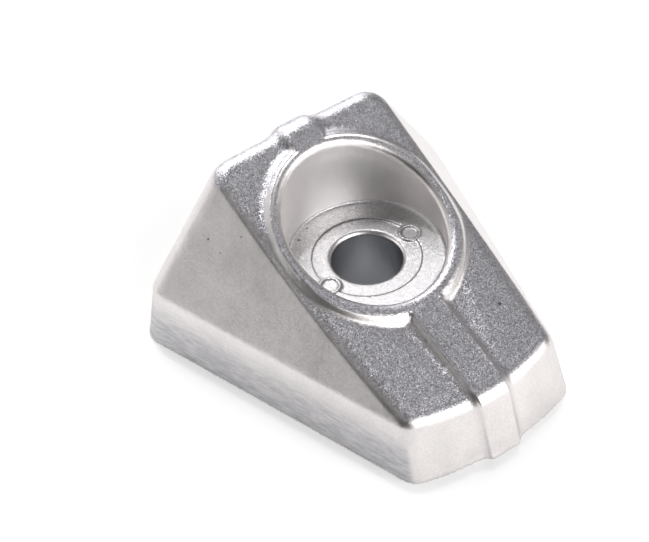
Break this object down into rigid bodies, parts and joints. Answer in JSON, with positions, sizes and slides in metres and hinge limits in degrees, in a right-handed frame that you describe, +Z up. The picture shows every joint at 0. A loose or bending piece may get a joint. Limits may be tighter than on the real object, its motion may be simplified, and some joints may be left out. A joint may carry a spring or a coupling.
{
  "type": "sacrificial anode",
  "caption": "Wedge-shaped sacrificial anode casting with a central rib and a round collar around a deep pocket for its fixing bolt.",
  "frame": {"origin": "on the bolt hole's axis, in the plane of the flat base", "axes": "+Z up along the bolt hole's axis, out of the pocket; -Y towards the low narrow front end; +Y towards the tall wide back end; +X to the right when seen from the back"},
  "size_m": [0.0556, 0.0544, 0.0285],
  "materials": {
    "cast_metal": "as cast, satin sides and a speckled darker grey top"
  },
  "bodies": {
    "root": {"anode_block": "cast_metal"}
  },
  "joints": []
}
